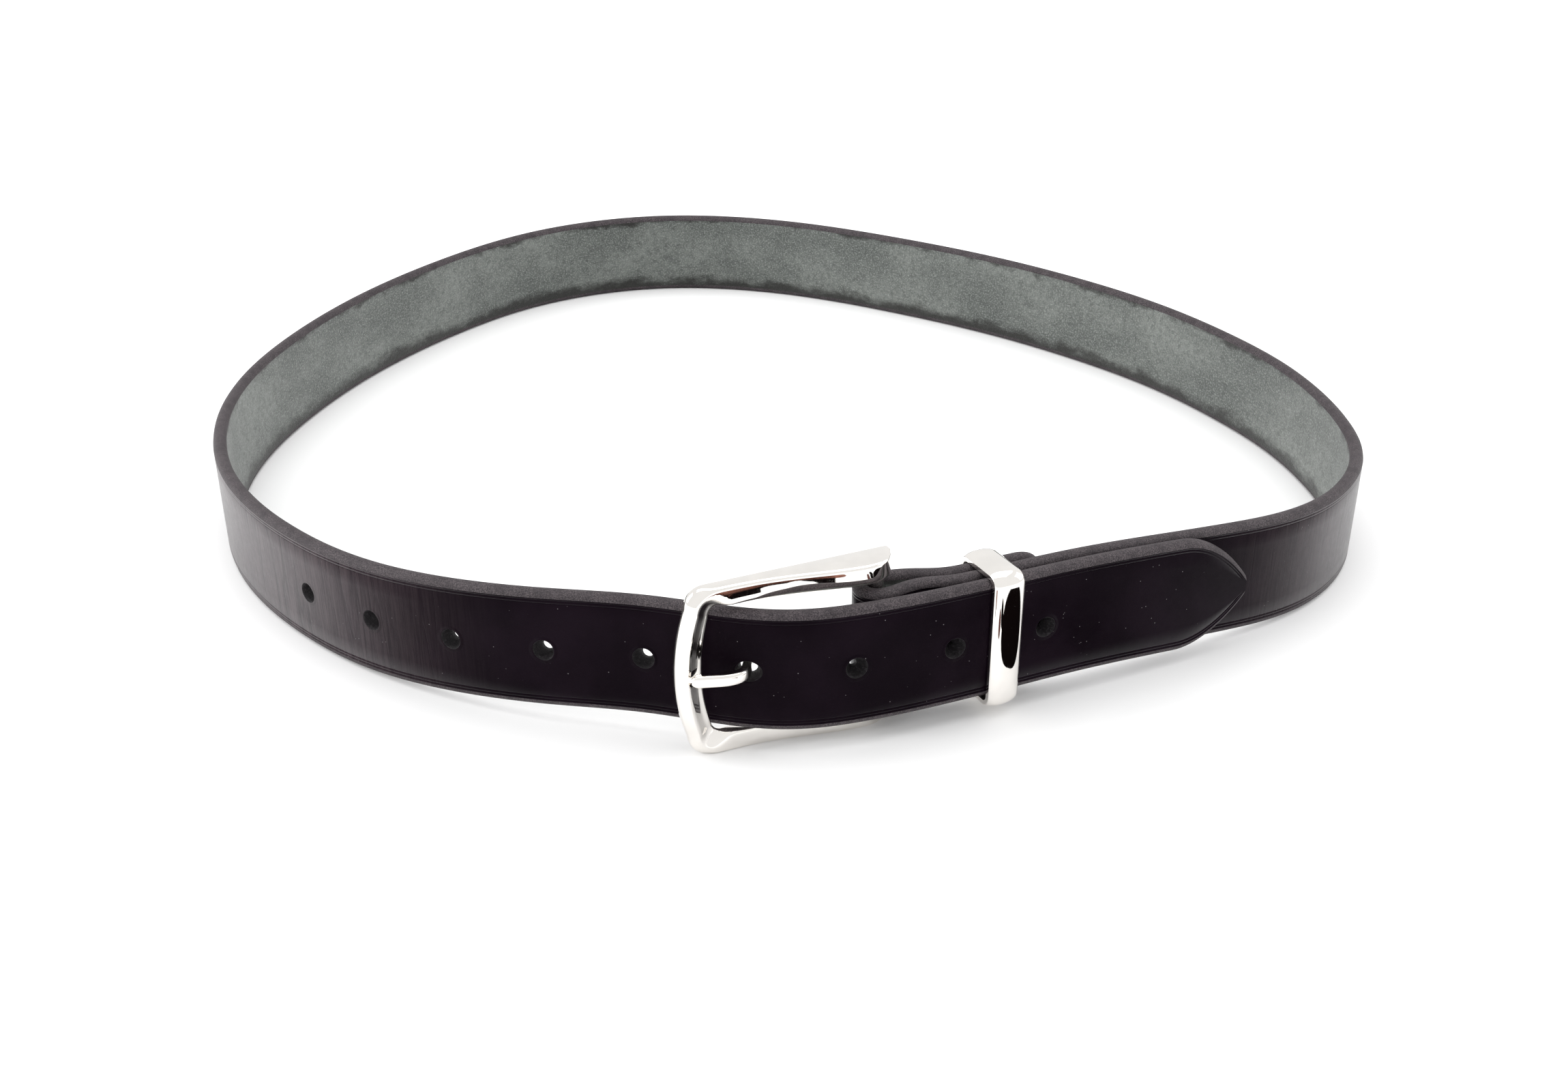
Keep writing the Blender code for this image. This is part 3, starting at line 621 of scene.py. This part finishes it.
def grain_leather(bends, first_hole, last_hole):
    """Polished top side: fine pores, dust specks, and finely wrinkled leather where it is pulled
    round the two tight bends, with painted shade in the wrinkles and a painted sheen paling it
    there."""
    nodes = Nodes("strap_grain")
    place = nodes.place()
    along = nodes.part(place, "X")
    solid = nodes.solid()
    (left_low, left_high), (right_low, right_high) = bends
    left = between(nodes, along, left_low, left_high, 42.0)
    right = between(nodes, along, right_low, right_high, 28.0)
    # pulled marks the two tight bends: it carries the painted sheen there and the real wrinkles
    pulled = nodes.math('MAXIMUM', left, nodes.math('MULTIPLY', right, 0.6))

    cloud = nodes.noise(place, 0.045, 4.0)
    base = nodes.mix(nodes.fade(cloud, 0.35, 0.7), GRAIN_DARK, GRAIN_LIGHT)
    streaks = nodes.noise(nodes.scaled(place, (1.0, 0.05, 1.0)), 1.1, 5.0, 0.65)
    pale = nodes.mix(nodes.fade(streaks, 0.28, 0.76), PAINTED_SHEEN_DARK, PAINTED_SHEEN_LIGHT)
    # Painted sheen: the leather paled round the bends, standing in for the light it catches there
    base = nodes.mix(nodes.math('MULTIPLY', pulled, 0.55), base, pale)
    folds = nodes.noise(nodes.scaled(place, (1.0, 0.09, 1.0)), 0.16, 2.0, 0.4)
    off = nodes.math('ABSOLUTE', nodes.math('SUBTRACT', folds, 0.5))
    lines = nodes.math('MULTIPLY', nodes.fade(off, 0.0, 0.022, 1.0, 0.0), pulled)
    # Painted shade: the wrinkle lines darkened as if their creases were in shade; they are also
    # grooves in the bump below
    base = nodes.mix(nodes.math('MULTIPLY', lines, 0.6), base, WRINKLE_SHADE)
    specks = nodes.cells(solid, 0.62)
    keep = nodes.fade(nodes.noise(solid, 0.35, 1.0), 0.57, 0.63)
    dust = nodes.math('MULTIPLY', nodes.fade(specks, 0.05, 0.10, 1.0, 0.0), keep)
    base = nodes.mix(nodes.math('MULTIPLY', dust, 0.5), base, DUST)

    ring = pressed_rings(nodes, along, nodes.part(place, "Y"), first_hole, last_hole)
    pores = nodes.noise(solid, 2.6, 3.0, 0.6)
    furrows = nodes.math('MULTIPLY', nodes.fade(streaks, 0.30, 0.62, 0.0, 0.6), pulled)
    furrows = nodes.math('SUBTRACT', furrows, lines)
    normal = nodes.bump(pores, 0.00012, 0.35)
    normal = nodes.bump(furrows, 0.0005, 0.6, normal)
    normal = nodes.bump(ring, 0.0006, 0.8, normal)
    rough = nodes.fade(nodes.noise(solid, 0.5, 3.0), 0.3, 0.7, 0.38, 0.52)
    facing = nodes.tree.nodes.new("ShaderNodeLayerWeight").outputs["Facing"]
    nodes.set(Base_Color=base, Roughness=rough, Normal=normal,
              Coat_Weight=nodes.fade(facing, 0.30, 0.68, 0.0, 1.0))
    nodes.constant(Specular_IOR_Level=0.03, Coat_Roughness=0.34)
    return nodes.material


def punched_leather():
    """Wall of a punched hole: dark with painted shade, darker than the cut edge, with a few paler
    torn fibres.
    """
    nodes = Nodes("strap_punched")
    fibres = nodes.noise(nodes.solid(), 1.7, 5.0, 0.75)
    nodes.set(Base_Color=nodes.mix(nodes.fade(fibres, 0.50, 0.70), PUNCHED_SHADE_DARK, PUNCHED_SHADE_LIGHT),
              Roughness=nodes.fade(fibres, 0.3, 0.7, 0.35, 0.7),
              Normal=nodes.bump(fibres, 0.0004, 0.8))
    nodes.constant(Specular_IOR_Level=0.3)
    return nodes.material


def edge_leather():
    """Burnished edge with pale fibres in it."""
    nodes = Nodes("strap_edge")
    solid = nodes.solid()
    fibres = nodes.noise(solid, 3.2, 4.0, 0.7)
    cloud = nodes.noise(solid, 0.25, 2.0)
    base = nodes.mix(nodes.fade(fibres, 0.38, 0.66), EDGE_DARK, EDGE_LIGHT)
    base = nodes.mix(nodes.fade(cloud, 0.4, 0.7, 0.0, 0.4), base, EDGE_SHADE)
    nodes.set(Base_Color=base, Roughness=nodes.fade(fibres, 0.3, 0.7, 0.45, 0.7),
              Normal=nodes.bump(fibres, 0.0002, 0.6))
    nodes.constant(Specular_IOR_Level=0.25)
    return nodes.material


def flesh_leather():
    """Suede side: grey-green nap with dark, uneven dye along both edges."""
    nodes = Nodes("strap_flesh")
    place = nodes.place()
    nap = nodes.noise(place, 1.5, 5.0, 0.75)
    tuft = nodes.noise(place, 0.42, 4.0, 0.65)
    patch = nodes.noise(nodes.scaled(place, (0.6, 1.0, 1.0)), 0.035, 4.0, 0.6)
    base = nodes.mix(nodes.fade(patch, 0.36, 0.66), FLESH_DARK, FLESH_LIGHT)
    base = nodes.mix(nodes.fade(tuft, 0.35, 0.7, 0.0, 0.6), base, FLESH_TUFT)
    base = nodes.mix(nodes.fade(nap, 0.46, 0.68, 0.0, 0.75), base, FLESH_NAP)
    wander = nodes.noise(nodes.scaled(place, (0.5, 1.0, 1.0)), 0.16, 5.0, 0.65)
    shift = nodes.math('MULTIPLY', nodes.math('SUBTRACT', wander, 0.5), 11.0)
    edge = nodes.math('ADD', nodes.part(place, "Y"), shift)
    low = nodes.fade(edge, -13.6, -8.6, 1.0, 0.0)
    high = nodes.fade(edge, 12.6, 15.4)
    dyed = nodes.math('MAXIMUM', low, high)
    base = nodes.mix(nodes.math('MULTIPLY', dyed, 0.88), base, FLESH_DYE)
    normal = nodes.bump(tuft, 0.0003, 0.5)
    normal = nodes.bump(nap, 0.00025, 0.8, normal)
    nodes.set(Base_Color=base, Roughness=nodes.fade(nap, 0.3, 0.7, 0.82, 0.95), Normal=normal)
    nodes.constant(Specular_IOR_Level=0.15, Sheen_Weight=0.25, Sheen_Roughness=0.5)
    return nodes.material


def plated(name, colour, low, high):
    """Plated metal, its roughness from low to high: very fine wipe marks and a slight
    waviness."""
    nodes = Nodes(name)
    solid = nodes.solid()
    wipes = nodes.noise(nodes.scaled(solid, (1.0, 1.0, 0.12)), 2.0, 3.0, 0.6)
    cloud = nodes.noise(solid, 0.16, 2.0)
    tint = nodes.mix(nodes.fade(cloud, 0.3, 0.7), colour, tuple(c * 0.94 for c in colour))
    nodes.set(Base_Color=tint, Roughness=nodes.fade(wipes, 0.3, 0.75, low, high),
              Normal=nodes.bump(cloud, 0.00006, 0.15))
    nodes.constant(Metallic=1.0)
    return nodes.material


# --- the strap ------------------------------------------------------------------

def from_lap(points):
    """Plan points given in the lap frame, in millimetres, as world ones."""
    return [lap(along * MM, out * MM)[:2] for along, out in points]


def from_loop(x, y):
    return LOOP_ORIGIN[0] + x * MM, LOOP_ORIGIN[1] + y * MM


def strap_path():
    """The strap's course, at mid thickness, from its tip to its turned-back end."""
    points = from_lap(TIP_LAP) + [from_loop(x, y) for x, y in LOOP] + from_lap(UNDER_LAP)
    for k in range(FOLD_STEPS + 1):
        angle = math.pi * (0.5 + k / FOLD_STEPS)
        points.append(lap(FOLD_RADIUS * math.cos(angle), FOLD_RADIUS * math.sin(angle))[:2])
    return Spline(points + from_lap(TURN_BACK))


def lift(x, y):
    """Height of the strap's lower edge above the floor."""
    away = math.hypot(x - HEEL_BAR.x, y - HEEL_BAR.y)
    share = min(max((away - LIFT_LEVEL) / (LIFT_REACH - LIFT_LEVEL), 0.0), 1.0)
    return LIFT_AT_BUCKLE * 0.5 * (1.0 + math.cos(math.pi * share))


def half_width(distance, length):
    """Half the strap's width: full but for the pointed tip and the rounded tail."""
    full = STRAP_WIDTH / 2.0
    if distance < TIP_TAPER:
        rest = (1.0 - distance / TIP_TAPER) ** TIP_CURVE
        return full * max(1.0 - rest, 0.0) ** TIP_FULLNESS
    to_tail = length - distance
    if to_tail < TAIL_TAPER:
        rest = (1.0 - to_tail / TAIL_TAPER) ** TAIL_CURVE
        return full * (TAIL_END + (1.0 - TAIL_END) * math.sqrt(1.0 - rest))
    return full


def crease_depth(height, half):
    """How far the grain side is pressed in at a height from mid width."""
    for inset in CREASE_INSETS:
        if half > CREASE_FROM and abs(abs(height) - (half - inset)) < CREASE_REACH / 2.0:
            return CREASE_DEPTH
    return 0.0


def section(half):
    """The strap cut across, as (out of the leather, up it, side) from the top of the
    grain side round, where half is half its width there."""
    face = STRAP_THICK / 2.0
    reach = min(EDGE_ROUND, half * 0.6)
    flat = half - reach
    heights = [flat, flat * 0.62, flat * 0.31]
    for inset in CREASE_INSETS:
        heights += [half - inset + step for step in (CREASE_REACH, 0.0, -CREASE_REACH)]
    heights = sorted({max(height, 0.0) for height in heights}, reverse=True)
    heights = heights + [0.0] + [-height for height in reversed(heights)]
    turns = [math.pi * k / EDGE_STEPS for k in range(1, EDGE_STEPS)]
    points = [(face - crease_depth(height, half), height, GRAIN) for height in heights]
    points += [(face * math.cos(a), -flat - reach * math.sin(a), EDGE) for a in turns]
    points += [(-face, flat * (k / 4), FLESH) for k in range(-4, 5)]
    points += [(-face * math.cos(a), flat + reach * math.sin(a), EDGE) for a in turns]
    return points


def strap_cuts(path):
    """Distances at which the strap is cut across, close together where it narrows or
    folds."""
    fold = path.nearest(lap(9 * MM, 3 * MM)[:2], path.length * 0.85, path.length)
    cuts = [d * MM for d in TIP_CUTS]
    while cuts[-1] < path.length - TAIL_TAPER:
        close = cuts[-1] > fold - FOLD_LEAD
        cuts.append(cuts[-1] + (FOLD_CUT_STEP if close else CUT_STEP))
    cuts = [d for d in cuts if d < path.length - TAIL_CLEAR]
    return cuts + [path.length - d * MM for d in TAIL_CUTS]


def across(path, distance):
    """Centre and outward direction of the strap at a distance, at mid width."""
    x, y = path.place(distance)
    tx, ty = path.tangent(distance)
    return Vector((x, y, lift(x, y) + STRAP_WIDTH / 2.0)), Vector((-ty, tx, 0.0))


def lofted_strap(path):
    """The whole strap, lofted through its cuts.  At the very tip the creases run
    together and a cut has fewer points, so those cuts are left out."""
    outlines = []
    for distance in strap_cuts(path):
        outlines.append((distance, section(half_width(distance, path.length))))
    sides = max(len(outline) for _, outline in outlines)
    rings = []
    places = []
    for distance, outline in outlines:
        if len(outline) == sides:
            centre, side = across(path, distance)
            rings.append([centre + side * out + UP * up for out, up, _ in outline])
            places.append([(distance / MM, up / MM, out / MM) for out, up, _ in outline])
    kinds = [kind for _, _, kind in outlines[len(outlines) // 2][1]]
    pairs = zip(kinds, kinds[1:] + kinds[:1])
    strips = [EDGE if EDGE in pair else pair[0] for pair in pairs]
    return loft("strap_leather", rings, places=places, kinds=strips)


def hole_distances(path):
    """Where the used hole and all nine are along the strap, in metres from the tip."""
    used = path.nearest(lap(HOLE_IN_USE_ALONG, -0.9 * MM)[:2], 0.1, 0.18)
    return used, [used + k * HOLE_PITCH for k in range(-HOLES_TIPWARD, HOLES_LOOPWARD + 1)]


def punch_profile(closing):
    """A punch as (distance out from mid thickness, radius), wider at the grain face
    and narrower behind by closing."""
    face = STRAP_THICK / 2.0
    behind = HOLE_RADIUS - closing
    return ((-PUNCH_REACH, 0.0), (-PUNCH_REACH, behind), (-0.9 * MM, behind),
            (face - 1.0 * MM, HOLE_RADIUS),
            (face - 0.4 * MM, HOLE_RADIUS + HOLE_FLARE * 0.3),
            (face + 0.1 * MM, HOLE_RADIUS + HOLE_FLARE * 1.4),
            (PUNCH_REACH, HOLE_RADIUS + HOLE_FLARE * 2.0), (PUNCH_REACH, 0.0))


def hole_cutters(path):
    """A punch for each hole.  The one in use is pulled along the strap at its face."""
    used, places = hole_distances(path)
    cutters = []
    for place in places:
        centre, side = across(path, place)
        if place != used:
            closing = UNUSED_CLOSING if place < used else HOLE_CLOSING
            cutters.append(turned("punch", punch_profile(closing), centre, side))
            continue
        centre.z = TONGUE_Z
        punch = turned("punch", punch_profile(WORN_CLOSING), centre, side)
        way = Vector((-side.y, side.x, 0.0))
        for vertex in punch.data.vertices:
            run = (vertex.co - centre).dot(way)
            if run > 0.0 and (vertex.co - centre).dot(side) > 0.0:
                vertex.co += way * (WORN_STRETCH * run / HOLE_RADIUS)
        cutters.append(punch)
    return cutters


def slot_cutter():
    """The tongue's slot in the fold, with a rounded end."""
    middle = LIFT_AT_BUCKLE + STRAP_WIDTH / 2.0
    outline = [lap(SLOT_LEFT, -SLOT_REACH, middle + SLOT_HALF_WIDTH),
               lap(SLOT_LEFT, -SLOT_REACH, middle - SLOT_HALF_WIDTH)]
    straight = SLOT_RIGHT - SLOT_HALF_WIDTH
    for k in range(SLOT_STEPS + 1):
        angle = math.pi * (k / SLOT_STEPS - 0.5)
        outline.append(lap(straight + SLOT_HALF_WIDTH * math.cos(angle), -SLOT_REACH,
                           middle + SLOT_HALF_WIDTH * math.sin(angle)))
    return loft("slot", [outline, [point + OUT * 2.0 * SLOT_REACH for point in outline]])


def screw_cutter(path, along):
    """A stepped bore through the two layers that a binding screw holds together, each
    looked for on its own stretch of the strap."""
    last = path.length
    under = path.nearest(lap(along, 4.5 * MM)[:2], last * 0.8, last - 75 * MM)
    front, side = across(path, under)
    turned_back = path.nearest(lap(along, 0.4 * MM)[:2], last - 48 * MM, last)
    back, other = across(path, turned_back)
    outward = (side - other).normalized()
    face = ((front - back).dot(outward) + STRAP_THICK) / 2.0
    rim = FLANGE_RADIUS + SCREW_GAP * 0.6
    bore = TUBE_RADIUS + SCREW_GAP
    floor = face - FLANGE_THICK - SCREW_GAP
    seat = SCREW_SEAT - face
    beyond = face + 1.5 * MM
    profile = ((-beyond, 0.0), (-beyond, rim), (seat, rim), (seat, bore), (floor, bore),
               (floor, rim), (beyond, rim), (beyond, 0.0))
    return turned("screw_bore", profile, (front + back) / 2.0, outward)


def make_strap():
    path = strap_path()
    strap = lofted_strap(path)

    def bend(ends, low, high):
        return tuple(path.nearest(from_loop(x, y), low, high) / MM for x, y in ends)

    # Each bend is looked for on its own stretch of the strap, in metres from the tip.
    bends = (bend(LEFT_BEND, 0.15, 0.5), bend(RIGHT_BEND, 0.8, 1.2))
    _, holes = hole_distances(path)
    strap.data.materials.append(grain_leather(bends, holes[0] / MM, holes[-1] / MM))
    strap.data.materials.append(edge_leather())
    strap.data.materials.append(flesh_leather())
    cutters = hole_cutters(path)
    cutters.append(slot_cutter())
    cutters += [screw_cutter(path, along) for along in SCREW_PLACES]
    cut(strap, cutters, punched_leather())
    smooth(strap, 40.0)
    stands_for(strap, "strap", "strap_body")


# --- the buckle -----------------------------------------------------------------

def side_edge(along):
    """How far out the frame reaches at a place along it: a mean over a stretch that
    grows to the left, which smooths the course."""
    places = [a * MM for a, _ in SIDE_EDGE]
    reach = [o * MM for _, o in SIDE_EDGE]
    spread = min(max(1.0 * MM - along, 0.0) * 0.6, 5.0 * MM)
    tries = [np.interp(along + spread * k / 6, places, reach) for k in range(-6, 7)]
    return float(np.mean(tries))


def frame_outline(left, bow, corner, low, high):
    """Half ring seen from the front: from the heel's top, round, to its bottom."""
    start = left + corner
    half = [(HEEL_END + (start - HEEL_END) * k / SIDE_CUTS, high) for k in range(SIDE_CUTS + 1)]
    for k in range(1, CORNER_CUTS + 1):
        angle = 0.5 * math.pi * k / CORNER_CUTS
        half.append((start - corner * math.sin(angle), high - corner * (1 - math.cos(angle))))
    middle = (low + high) / 2.0
    reach = (high - low) / 2.0 - corner
    bar = []
    for k in range(1, BAR_CUTS):
        rise = 1.0 - 2.0 * k / BAR_CUTS
        bar.append((left - bow * (1.0 - rise * rise), middle + reach * rise))
    return half + bar + [(a, low + high - z) for a, z in reversed(half)]


def frame_ring(outer, inner):
    """Cross-section between an outer and an inner point.  The front bar has two bevels
    that meet in a ridge; the sides have one upright face with small rounds."""
    middle = (outer[0] + inner[0]) / 2.0
    front = side_edge(middle)
    deep = front - FRAME_BACK
    fall = deep * BAR_FALL
    soft = min(SIDE_ROUND, deep * 0.25)
    bar = min(max((FRONT_BAR_INNER + 3.0 * MM - middle) / (5.0 * MM), 0.0), 1.0)
    bar = bar * bar * (3.0 - 2.0 * bar)
    profile = []
    for (one, shallow), (two, steep) in zip(SIDE_PROFILE, BAR_PROFILE):
        back = soft * shallow + (fall * steep - soft * shallow) * bar
        profile.append((one + (two - one) * bar, front - back))
    profile += [(share, FRAME_BACK + soft * rise) for share, rise in BACK_PROFILE]
    ring = []
    for share, out in profile:
        along = outer[0] + (inner[0] - outer[0]) * share
        height = outer[1] + (inner[1] - outer[1]) * share
        ring.append(lap(along, out, height))
    return ring


def notch_cutter():
    """The seat in the front bar where the tongue's end rests."""
    floor = side_edge(FRONT_BAR_INNER) - NOTCH_DEPTH
    left = FRONT_BAR_OUTER - OUTER_BOW + NOTCH_INSET
    right = FRONT_BAR_INNER + NOTCH_PAST
    outline = []
    for k in range(9):
        angle = math.pi * (0.5 + k / 8)
        outline.append(lap(left + NOTCH_CURVE + NOTCH_CURVE * math.cos(angle), floor,
                           TONGUE_Z + NOTCH_HALF * math.sin(angle)))
    outline += [lap(right, floor, TONGUE_Z - NOTCH_HALF),
                lap(right, floor, TONGUE_Z + NOTCH_HALF)]
    return loft("notch", [outline, [point + OUT * 4 * MM for point in outline]])


def make_frame(nickel):
    outer = frame_outline(FRONT_BAR_OUTER, OUTER_BOW, OUTER_CORNER, 0.0, FRAME_HEIGHT)
    inner = frame_outline(FRONT_BAR_INNER, INNER_BOW, INNER_CORNER, SIDE_HEIGHT,
                          FRAME_HEIGHT - SIDE_HEIGHT)
    body = loft("polished_frame", [frame_ring(o, i) for o, i in zip(outer, inner)])
    body.data.materials.append(nickel)
    span = BAR_LENGTH / 2 + BAR_GAP
    round_bar = BAR_RADIUS + BAR_GAP
    bore = turned("bore", ((-span, 0.0), (-span, round_bar), (span, round_bar), (span, 0.0)),
                  lap(0, 0, FRAME_HEIGHT / 2), UP)
    cut(body, [bore, notch_cutter()], nickel)
    smooth(body, 50.0)
    stands_for(body, "buckle_frame", "buckle_body")


def rounded(share):
    """A cosine or sine drawn out towards a rounded square."""
    return math.copysign(abs(share) ** TONGUE_SQUARE, share)


def make_tongue(nickel):
    """A bar of rounded-square section, curled into an eye round the heel bar, with a
    swan neck."""
    points = []
    for degrees in EYE_ANGLES:
        angle = math.radians(degrees)
        points.append((EYE_RADIUS * math.cos(angle), EYE_RADIUS * math.sin(angle)))
    eye_count = len(points)
    points += [(a * MM, o * MM) for a, o in TONGUE_SHANK]
    line = Spline(points)
    eye_length = float(np.interp(line.knots[eye_count - 1], line.fine, line.lengths))
    rings = []
    for k in range(TONGUE_CUTS + 1):
        distance = line.length * k / TONGUE_CUTS
        along, out = line.place(distance)
        ta, to = line.tangent(distance)
        grown = min(max((distance - eye_length) / TONGUE_GROWS, 0.0), 1.0)
        to_point = min((line.length - distance) / POINT_LENGTH, 1.0)
        narrow = 1.0 - 0.5 * (1.0 - to_point) ** 2.5
        thick = (EYE_THICK + (TONGUE_THICK - EYE_THICK) * grown) / 2.0 * narrow
        half = TONGUE_HALF_WIDTH * narrow
        ring = []
        for j in range(TONGUE_SIDES):
            angle = 2.0 * math.pi * j / TONGUE_SIDES
            away = thick * rounded(math.cos(angle))
            ring.append(lap(along - to * away, out + ta * away,
                            TONGUE_Z + half * rounded(math.sin(angle))))
        rings.append(ring)
    tongue = loft("polished_tongue", rings)
    tongue.data.materials.append(nickel)
    smooth(tongue, 50.0)
    stands_for(tongue, "tongue", "tongue_body")


def keeper_outline():
    """The keeper's inside, seen along the strap: (out, height, outward direction)."""
    outer, inner = KEEPER_INNER_OUT - KEEPER_CORNER, KEEPER_INNER_IN + KEEPER_CORNER
    low, high = KEEPER_INNER_LOW + KEEPER_CORNER, KEEPER_INNER_HIGH - KEEPER_CORNER
    outline = []
    for quarter, (out, height) in enumerate(((outer, high), (inner, high),
                                             (inner, low), (outer, low))):
        for k in range(CORNER_STEPS + 1):
            angle = math.radians(90.0 * quarter + 90.0 * k / CORNER_STEPS)
            way = (math.cos(angle), math.sin(angle))
            outline.append((out + KEEPER_CORNER * way[0], height + KEEPER_CORNER * way[1], way))
    return outline


def make_keeper(nickel):
    """A domed loop, its outside rolled over at both rims.  The dome's levels are in
    walls up to 1 and in crowns above that."""
    dome = [(-1.0, 0.0), (-1.0, 0.75)]
    for k in range(DOME_STEPS + 1):
        run = -0.99 + 1.98 * k / DOME_STEPS
        dome.append((run, DOME_RIM + DOME_RISE * (1.0 - abs(run) ** 2.6)))
    dome += [(1.0, 0.75), (1.0, 0.0)]
    crown = KEEPER_CROWN / (DOME_RIM + DOME_RISE - 1.0)
    rings = []
    for out, height, way in keeper_outline():
        ring = []
        for run, level in dome:
            grow = KEEPER_WALL * min(level, 1.0) + crown * max(level - 1.0, 0.0)
            ring.append(lap(KEEPER_CENTRE + KEEPER_WIDTH / 2.0 * run, out + way[0] * grow,
                            height + way[1] * grow))
        rings.append(ring)
    keeper = loft("polished_keeper", rings, closed=True)
    keeper.data.materials.append(nickel)
    smooth(keeper, 50.0)
    stands_for(keeper, "keeper", "keeper_body")


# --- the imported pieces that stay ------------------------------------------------

def dress(name, material):
    """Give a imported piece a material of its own."""
    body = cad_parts[name]
    for slot in body.material_slots:
        slot.material = material
    if not body.material_slots:
        body.data.materials.append(material)


make_camera()
make_studio()
make_cards()
make_strap()
mirror = plated("nickel_plate", NICKEL, 0.02, 0.05)
make_frame(mirror)
make_tongue(mirror)
make_keeper(mirror)
steel = plated("screw_plate", STEEL, 0.18, 0.32)
for node in PACKED_PIECES:
    dress(node, steel)
